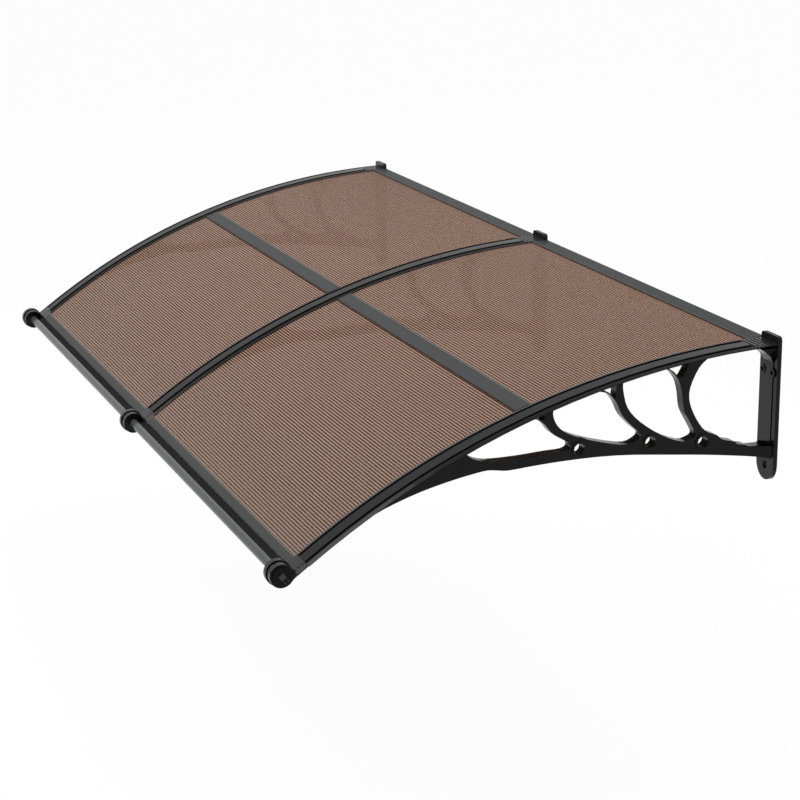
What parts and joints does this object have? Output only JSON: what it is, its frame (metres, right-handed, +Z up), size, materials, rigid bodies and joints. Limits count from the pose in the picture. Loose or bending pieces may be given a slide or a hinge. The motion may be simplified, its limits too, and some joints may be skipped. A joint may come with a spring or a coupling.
{
  "type": "polycarbonate door canopy",
  "caption": "Curved door canopy for a wall: moulded brackets carry bronze twin-wall sheets, clamped by strips and edged at the wall and along the front tube.",
  "frame": {"origin": "on the wall plane, at the centre of the middle bracket's wall plate back", "axes": "+X along the wall, +Y into the wall, +Z up; the roof reaches out to -Y"},
  "size_m": [2.066, 0.9225, 0.3535],
  "materials": {
    "black_moulding": "glossy black moulded plastic",
    "dark_strip": "satin dark grey coated aluminium",
    "bronze_sheet": "bronze translucent twin-wall polycarbonate",
    "grey_strip": "satin grey coated aluminium",
    "black_rubber": "matt black rubber",
    "black_cap": "black plastic"
  },
  "bodies": {
    "root": {"bracket_left": "black_moulding", "bracket_middle": "black_moulding", "bracket_right": "black_moulding", "cover_strip_left": "dark_strip", "cover_strip_middle": "dark_strip", "cover_strip_right": "dark_strip", "sheet_rear_left": "bronze_sheet", "sheet_rear_right": "bronze_sheet", "sheet_front_left": "bronze_sheet", "sheet_front_right": "bronze_sheet", "joint_strip_left": "grey_strip", "joint_strip_right": "grey_strip", "front_strip_left": "grey_strip", "front_strip_right": "grey_strip", "front_tube_left": "grey_strip", "front_tube_right": "grey_strip", "wall_profile_left": "grey_strip", "wall_profile_right": "grey_strip", "wall_seal_left": "black_rubber", "wall_seal_right": "black_rubber", "head_cap_left": "black_cap", "head_cap_right": "black_cap"}
  },
  "joints": []
}
